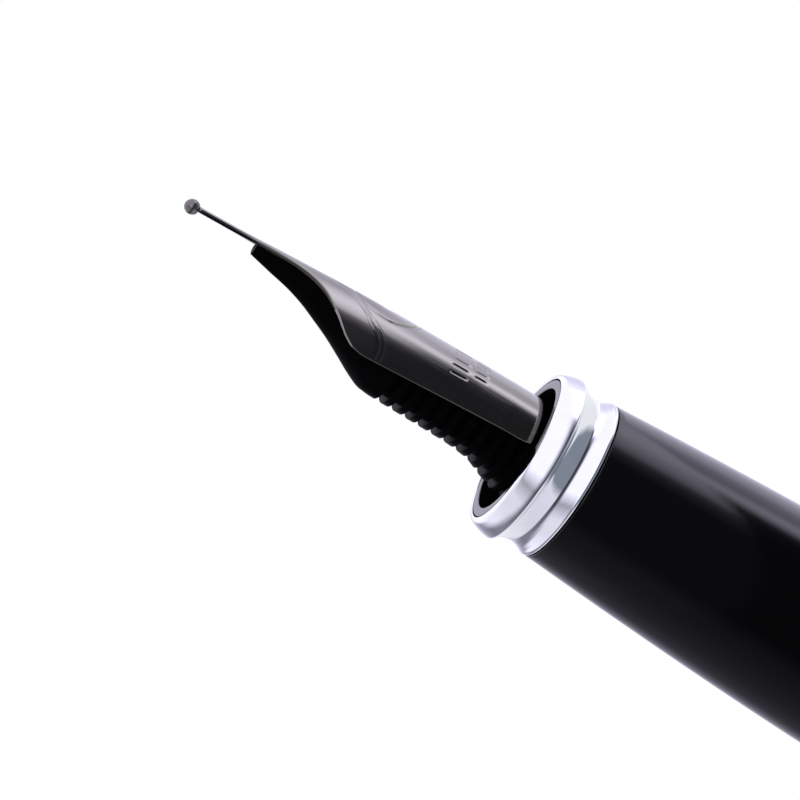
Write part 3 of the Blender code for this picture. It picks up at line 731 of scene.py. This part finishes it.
def make_cap():
    """Lip ring, lacquered shell, finial with its inlay and the sleeve that grips the barrel."""
    ring = [(0, 6.40), (0, 6.85), (0.3, 7.04), (0.8, 7.1), (3.3, 7.1), (3.5, 7.0), (3.7, 7.1),
            (4.6, 7.1), (4.95, 7.0), (4.95, 6.40)]
    turned("cap_lip_ring", from_lip(ring), "cap", finishes["chrome"], 0.12)
    outline = [(CAP_SHELL_FRONT, 6.95), (100.0, 6.92), (114.0, 6.84), (CAP_BACK, 6.68)]
    shell = traced(outline, CAP_SHELL_FRONT, CAP_BACK, 60)
    shell += [(CAP_BACK, 6.40), (CAP_SHELL_FRONT, 6.40)]
    turned("cap_shell", shell, "cap", finishes["black_lacquer"], 0.05)
    crown = [(5.3, 6.60), (5.7, 6.72), (6.4, 6.60), (7.5, 6.15), (8.5, 5.30), (9.2, 4.30)]
    dome = traced(crown, 5.3, 9.2, 30)
    finial = [(5.3, 1.35), *dome, (9.2, 3.60), (8.5, 3.60), (8.5, 1.35)]
    turned("finial", from_back(finial), "cap", finishes["chrome"], 0.05)
    inlay = [(8.55, 0), (8.55, 3.50), (9.0, 3.50), (9.2, 3.35), (9.2, 0)]
    turned("finial_inlay", from_back(inlay), "cap", finishes["black_lacquer"],
           0.08, closed=False)
    sleeve = [(0.3, 6.34), (0.3, 6.15), (0.9, 6.06), (9, 6.06), (10, 6.15), (10, 6.34)]
    turned("snap_sleeve", from_lip(sleeve), "cap", finishes["black_plastic"])


def box_mesh(name, low, high):
    """A box between two (station, across, height) corners, as a mesh."""
    made = bmesh.new()
    start, end = place(*low), place(*high)
    bmesh.ops.create_cube(made, size=1.0)
    for vert in made.verts:
        vert.co = Vector((start[i] if vert.co[i] < 0 else end[i] for i in range(3)))
    return to_mesh(made, name)


def rod_mesh(name, centre, radius, length):
    """A smooth rod across the pen about a (station, across, height) centre, as a mesh."""
    made = bmesh.new()
    turn = Matrix.Translation(place(*centre)) @ Matrix.Rotation(math.radians(90), 4, "X")
    bmesh.ops.create_cone(made, cap_ends=True, segments=64, radius1=radius * MM,
                          radius2=radius * MM, depth=length * MM, matrix=turn)
    return to_mesh(made, name)


def helper(name, data):
    """A temporary object, removed again by baked()."""
    item = bpy.data.objects.new(name, data)
    bpy.context.scene.collection.objects.link(item)
    return item


def baked(item, name, *helpers):
    """The mesh of a temporary object with its modifiers. It and its helpers are removed."""
    bpy.context.view_layer.update()
    graph = bpy.context.evaluated_depsgraph_get()
    mesh = bpy.data.meshes.new_from_object(item.evaluated_get(graph))
    for used in (item, *helpers):
        bpy.data.objects.remove(used, do_unlink=True)
    mesh.name = name
    return mesh


def carved(mesh, steps):
    """The mesh after a list of (operation, tool mesh) booleans."""
    item = helper("carving", mesh)
    tools = [helper("tool", tool_mesh) for _, tool_mesh in steps]
    for (operation, _), tool in zip(steps, tools):
        change = item.modifiers.new("Boolean", "BOOLEAN")
        change.operation = operation
        change.solver = "EXACT"
        change.object = tool
    return baked(item, mesh.name + "_carved", *tools)


def clip_side():
    """Turns what is drawn in line with the nib's top round the pen to the clip's place."""
    axis = Matrix.Translation(place(0))
    return axis @ Matrix.Rotation(CLIP_TURN, 4, "X") @ axis.inverted()


def make_clip_ring():
    """Disc at the cap's end with two ears, the slot between them and the pin's bore."""
    profile = from_back([(0.1, 1.35), (0.1, 6.60), (0.4, 6.74), (4.8, 6.74), (5.15, 6.60),
                         (5.15, 1.35)])
    disc = turned_mesh("clip_ring_fine", profile)
    station, height = CLIP_PIVOT
    front, back, half = CAP_BACK + 0.7, CAP_BACK + 4.8, CLIP_WIDTH / 2 + 0.12
    mesh = carved(disc, [
        ("UNION", box_mesh("boss", (front, -2.0, 5.0), (back, 2.0, 7.98))),
        ("DIFFERENCE", box_mesh("slot", (CAP_BACK - 1, -half, 6.2), (back + 0.1, half, 10.0))),
        ("DIFFERENCE", box_mesh("pocket", (front + 0.2, -half, 4.4), (back - 0.2, half, 7.0))),
        ("DIFFERENCE", rod_mesh("bore", (station, 0, height), 0.46, 8.0))])
    mesh.transform(clip_side())
    item = piece("clip_ring_fine", mesh, "cap", "clip_ring", finishes["chrome"])
    shaded(bevelled(item, 0.06, 2, 35))


def make_clip():
    """Sprung clip: a bar with soft edges, a ball end and a tail that the spring pushes on."""
    outline = arc(CLIP_PIVOT, 0.80, -10, 80, 14)
    top = [(92.6, 8.66), (97.0, 8.78), (105.0, 8.88), (116.0, 8.86), (124.5, 8.62)]
    under = [(93.2, 7.88), (97.0, 8.02), (105.0, 8.14), (116.0, 8.12), (124.5, 7.80),
             (128.0, 7.20), (129.4, 6.75)]
    outline += traced(top, 124.5, 92.6, 40)
    outline += arc((91.4, 7.96), 0.93, 55, 300, 28)
    outline += traced(under, 93.2, 129.4, 40)
    outline += [(130.3, 6.45), (130.3, 5.10), (131.3, 5.10), (131.5, 6.45)]
    hole = arc(CLIP_PIVOT, 0.47, 0, 360 * 47 / 48, 47)
    soft = 0.22
    curve = bpy.data.curves.new("clip_outline", "CURVE")
    curve.dimensions = "2D"
    curve.fill_mode = "BOTH"
    curve.extrude = (CLIP_WIDTH / 2 - soft) * MM
    curve.bevel_depth = soft * MM
    curve.bevel_resolution = 4
    curve.offset = -soft * MM
    for loop in (outline, hole):
        spline = curve.splines.new("POLY")
        spline.points.add(len(loop) - 1)
        for point, (station, height) in zip(spline.points, loop):
            point.co = ((station - CLIP_PIVOT[0]) * MM, (height - CLIP_PIVOT[1]) * MM, 0, 1)
        spline.use_cyclic_u = True
    mesh = baked(helper("clip_drawn", curve), "clip_fine")
    stand = Matrix.Translation(place(CLIP_PIVOT[0], 0, CLIP_PIVOT[1]))
    mesh.transform(clip_side() @ stand @ Matrix.Rotation(math.radians(90), 4, "X"))
    made = bmesh.new()
    made.from_mesh(mesh)
    bmesh.ops.remove_doubles(made, verts=made.verts, dist=1e-6)
    bmesh.ops.recalc_face_normals(made, faces=made.faces)
    made.to_mesh(mesh)
    made.free()
    mesh.materials.clear()
    shaded(piece("clip_fine", mesh, "clip", "clip", finishes["chrome"]), 50)


def make_pin():
    """Pin with rounded heads through the clip and the two ears."""
    mesh = rod_mesh("clip_pin_fine", (CLIP_PIVOT[0], 0, CLIP_PIVOT[1]), 0.42, 3.9)
    mesh.transform(clip_side())
    item = piece("clip_pin_fine", mesh, "cap", "clip_pin", finishes["steel"])
    shaded(bevelled(item, 0.08, 3, 35))


# ---------------------------------------------------------------- camera and light

def make_camera():
    """Nearly side on, a little to the nib's side and below, with the pen running down
    to the right. The camera looks at a point beside the middle of the section's mouth."""
    azimuth, elevation, slope = math.radians(-11.5), math.radians(-2.5), math.radians(31.4)
    back = Vector((math.sin(azimuth) * math.cos(elevation),
                   -math.cos(azimuth) * math.cos(elevation), math.sin(elevation)))
    along = Vector((1, 0, 0))
    along = (along - along.dot(back) * back).normalized()
    over = back.cross(along)
    right = math.cos(slope) * along + math.sin(slope) * over
    up = back.cross(right)
    lens = 250.0                    # millimetres
    view_over_sensor = 1.2346       # width of the view at the target over the sensor's width
    target = place(0) - 6.488 * MM * right + 2.665 * MM * up
    data = bpy.data.cameras.new("camera")
    data.lens = lens
    data.clip_start = 0.01
    camera = bpy.data.objects.new("camera", data)
    bpy.context.scene.collection.objects.link(camera)
    turn = Matrix((right, up, back)).transposed().to_4x4()
    camera.matrix_world = Matrix.Translation(target + back * view_over_sensor * lens * MM) @ turn
    bpy.context.scene.camera = camera


# Soft light round the pen: (angle from the top, radiance). The angle turns about the pen
# from the top, through the side that the clip points to at +90, to the underside at 180.
LIGHT_ROUND = [(-180, 0.19), (-164, 0.25), (-150, 0.25), (-135, 0.24), (-118, 0.36),
               (-100, 0.70), (-80, 0.80), (-50, 0.85), (-36, 1.05), (-26, 1.45), (-16, 1.95),
               (-5, 2.25), (6, 1.95), (13, 1.55), (18, 1.10), (23, 0.42), (30, 0.19),
               (40, 0.07), (130, 0.07), (140, 0.10), (150, 0.15), (180, 0.19)]
# The same a little nearer to the tail, where the strip above is narrow.
NARROW_ROUND = [(-180, 0.19), (-135, 0.24), (-100, 0.70), (-72, 1.05), (-38, 1.35),
                (-26, 1.10), (-15, 1.12), (-9, 1.75), (-4, 2.20), (1, 1.70), (6, 0.72),
                (10, 0.18), (16, 0.06), (28, 0.037), (130, 0.037), (150, 0.12), (180, 0.19)]
LIGHT_PEAK = 2.5
LIGHT_TINT = (1.0, 0.98, 1.22)
# Past the nib's end: white, with a dim grey-lilac floor.
FRONT_LIGHT = [(-180, (0.88, 0.87, 0.98)), (-120, (1.20, 1.18, 1.40)), (106, (1.20, 1.18, 1.40)),
               (128, (0.42, 0.42, 0.48)), (152, (0.88, 0.87, 0.98)), (180, (0.88, 0.87, 0.98))]
# Past the tail's end: white above, a cool grey room in front, pale lilac below.
REAR_LIGHT = [(-180, (0.80, 0.79, 0.90)), (-90, (0.95, 0.97, 1.00)), (-6, (0.95, 0.97, 1.00)),
              (12, (0.25, 0.28, 0.34)), (110, (0.25, 0.28, 0.34)), (126, (0.85, 0.83, 0.96)),
              (180, (0.80, 0.79, 0.90))]


def make_surroundings():
    """A white studio: a bright strip above, a dark room in front, white at both ends.
    A direction's x is -1 straight ahead of the nib, 0 square to the pen and 1 behind it."""
    world = bpy.data.worlds.new("studio")
    bpy.context.scene.world = world
    world.use_nodes = True
    tree = world.node_tree
    tree.nodes.clear()

    def math_node(operation, first, second=None):
        node = tree.nodes.new("ShaderNodeMath")
        node.operation = operation
        for socket, value in zip(node.inputs, (first, second)):
            if isinstance(value, (int, float)):
                socket.default_value = value
            elif value is not None:
                tree.links.new(value, socket)
        return node.outputs["Value"]

    direction = tree.nodes.new("ShaderNodeTexCoord").outputs["Generated"]
    parts = tree.nodes.new("ShaderNodeSeparateXYZ")
    tree.links.new(direction, parts.inputs["Vector"])
    x, y, z = parts.outputs
    angle = math_node("ARCTAN2", math_node("MULTIPLY", y, -1.0), z)

    def round_ramp(rows):
        """Colours round the pen from rows of (angle in degrees, colour)."""
        ramp = tree.nodes.new("ShaderNodeValToRGB")
        stops = ramp.color_ramp.elements
        while len(stops) > 1:
            stops.remove(stops[-1])
        for degrees, _ in rows[1:]:
            stops.new(degrees / 360 + 0.5)
        stops[0].position = 0.0
        for stop, (_, colour) in zip(stops, rows):
            stop.color = (*[level / LIGHT_PEAK for level in colour], 1.0)
        share = math_node("ADD", math_node("MULTIPLY", angle, 1 / math.tau), 0.5)
        tree.links.new(share, ramp.inputs["Fac"])
        return ramp.outputs["Color"]

    def blend_from(colour, other, start, end):
        """The colour turns into the other one as x goes from start to end."""
        share = tree.nodes.new("ShaderNodeMapRange")
        share.interpolation_type = "SMOOTHSTEP"
        share.inputs["From Min"].default_value = start
        share.inputs["From Max"].default_value = end
        tree.links.new(x, share.inputs["Value"])
        mix = tree.nodes.new("ShaderNodeMix")
        mix.data_type = "RGBA"
        tree.links.new(share.outputs["Result"], mix.inputs["Factor"])
        tree.links.new(colour, mix.inputs[6])
        tree.links.new(other, mix.inputs[7])
        return mix.outputs[2]

    def tinted(rows):
        return [(degrees, [radiance * tint for tint in LIGHT_TINT]) for degrees, radiance in rows]

    wide = round_ramp(tinted(LIGHT_ROUND))
    beside = blend_from(wide, round_ramp(tinted(NARROW_ROUND)), 0.167, 0.180)
    behind = round_ramp(REAR_LIGHT)
    ahead = round_ramp(FRONT_LIGHT)
    room = blend_from(blend_from(ahead, beside, -0.20, 0.02), behind, 0.26, 0.36)

    light = tree.nodes.new("ShaderNodeBackground")
    light.inputs["Strength"].default_value = LIGHT_PEAK
    tree.links.new(room, light.inputs["Color"])
    output = tree.nodes.new("ShaderNodeOutputWorld")
    tree.links.new(light.outputs["Background"], output.inputs["Surface"])


def plain_stage(name, mesh, colour, strength):
    """Scenery that only the camera sees."""
    made = bpy.data.materials.new(name)
    made.use_nodes = True
    shader = made.node_tree.nodes["Principled BSDF"]
    shader.inputs["Base Color"].default_value = (*colour, 1.0)
    shader.inputs["Roughness"].default_value = 1.0
    shader.inputs["Specular IOR Level"].default_value = 0.0
    shader.inputs["Emission Color"].default_value = (1.0, 1.0, 1.0, 1.0)
    shader.inputs["Emission Strength"].default_value = strength
    mesh.materials.append(made)
    item = bpy.data.objects.new(name, mesh)
    bpy.context.scene.collection.objects.link(item)
    item.visible_diffuse = item.visible_glossy = item.visible_transmission = False
    item.visible_shadow = False


def make_stage():
    """A white backdrop all round and a plain pale floor well below the pen, in metres."""
    backdrop_radius, floor_half, floor_height = 3.0, 1.5, -1.6
    made = bmesh.new()
    bmesh.ops.create_icosphere(made, subdivisions=4, radius=backdrop_radius)
    bmesh.ops.reverse_faces(made, faces=made.faces)
    plain_stage("backdrop", to_mesh(made, "backdrop"), (0.0, 0.0, 0.0), 1.0)
    made = bmesh.new()
    bmesh.ops.create_grid(made, x_segments=4, y_segments=4, size=floor_half,
                          matrix=Matrix.Translation((0, 0, floor_height)))
    plain_stage("floor", to_mesh(made, "floor"), (0.6, 0.6, 0.6), 0.45)


finishes = make_finishes()
make_camera()
make_surroundings()
make_stage()
bpy.context.scene.view_settings.view_transform = "Standard"
for entry in frame["record"]["subparts"]:
    node = frame["nodes"][entry["node"]]
    node.data.materials.clear()
    node.data.materials.append(finishes[entry["material_slot"]])

make_nib()
make_tip()
make_feed()
make_nib_housing()
make_front_ring()
make_section()
make_converter()
make_barrel()
make_cap()
make_clip_ring()
make_clip()
make_pin()
